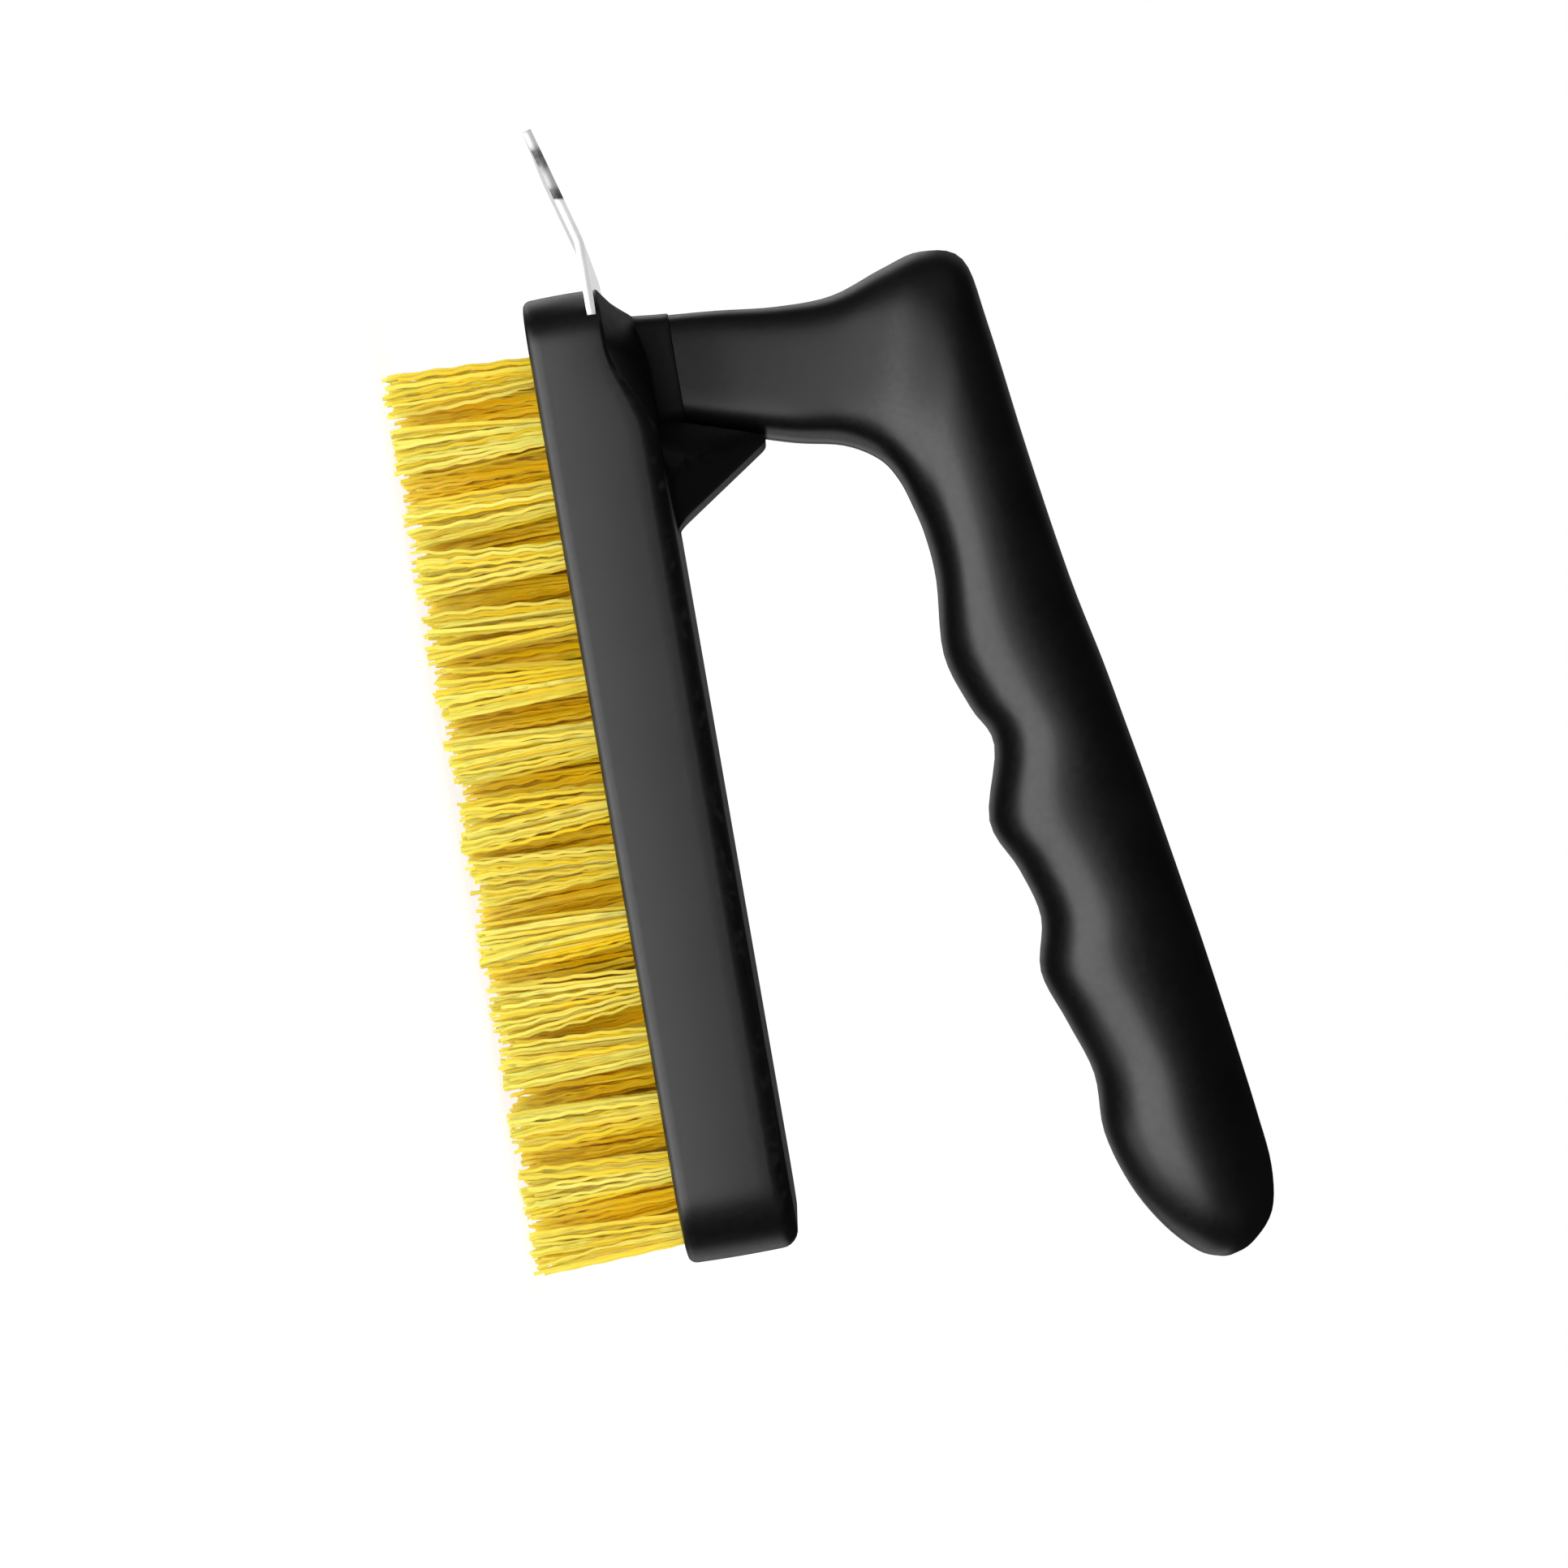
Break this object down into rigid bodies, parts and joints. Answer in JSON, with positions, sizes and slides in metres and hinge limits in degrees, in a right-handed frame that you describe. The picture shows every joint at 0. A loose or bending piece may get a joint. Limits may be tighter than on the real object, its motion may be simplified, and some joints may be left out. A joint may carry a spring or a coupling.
{
  "type": "grill cleaning brush",
  "caption": "Hand-held grill cleaning brush with stiff tufted bristles, a bent steel scraper at one end and an arched finger grip.",
  "frame": {"origin": "middle of the bristle tips: the centre of the middle tuft, at the plane that the brush stands on", "axes": "+X along the head from the scraper to the free end of the grip, +Y across the head, +Z from the bristle tips up to the grip"},
  "size_m": [0.2024, 0.06, 0.1236],
  "materials": {
    "head_plastic": "satin black moulded plastic",
    "block_plastic": "matt black moulded plastic",
    "grip_plastic": "satin black moulded plastic",
    "bristle": "translucent yellow crimped filament",
    "anchor_wire": "flat drawn wire",
    "scraper_steel": "brushed stainless sheet",
    "screw_steel": "zinc plated"
  },
  "bodies": {
    "root": {"head_shell": "head_plastic", "tuft_block": "block_plastic", "tuft_row_1": "bristle", "tuft_row_2": "bristle", "tuft_row_3": "bristle", "tuft_row_4": "bristle", "tuft_row_5": "bristle", "tuft_anchors": "anchor_wire", "scraper_blade": "scraper_steel", "scraper_screws": "screw_steel", "scraper_washers": "screw_steel", "block_screws": "screw_steel", "handle_left": "grip_plastic", "handle_right": "grip_plastic", "handle_screws": "screw_steel", "neck_screw": "screw_steel"}
  },
  "joints": []
}
